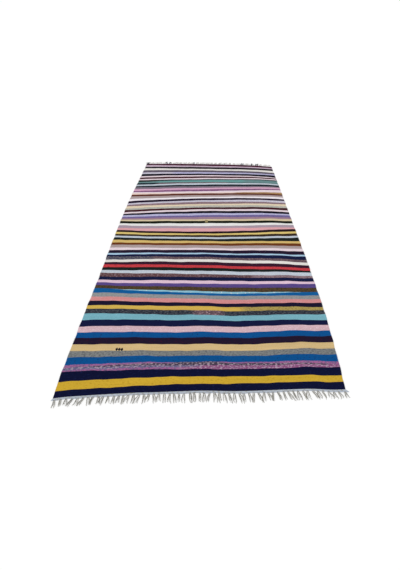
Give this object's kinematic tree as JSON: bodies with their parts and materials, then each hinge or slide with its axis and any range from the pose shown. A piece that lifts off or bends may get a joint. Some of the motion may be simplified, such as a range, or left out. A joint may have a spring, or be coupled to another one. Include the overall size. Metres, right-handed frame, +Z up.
{
  "type": "kilim",
  "caption": "Long flat-woven kilim rug with uneven cross stripes in many yarn colours and a short loose fringe at both ends, lying flat on the floor.",
  "frame": {"origin": "on the floor, under the middle of the bounding box of the cloth and both fringes", "axes": "+X across the rug to the right, +Y along its length from the near fringe to the far one, +Z up out of the upper face"},
  "size_m": [1.6746, 3.4498, 0.0047],
  "materials": {
    "cloth": "weft-faced flat weave in matt wool, cross stripes of many colours",
    "fringe": "undyed pale warp yarn, loosely twisted and matt"
  },
  "bodies": {
    "root": {"kilim_cloth": "cloth", "fringe_near": "fringe", "fringe_far": "fringe"}
  },
  "joints": []
}
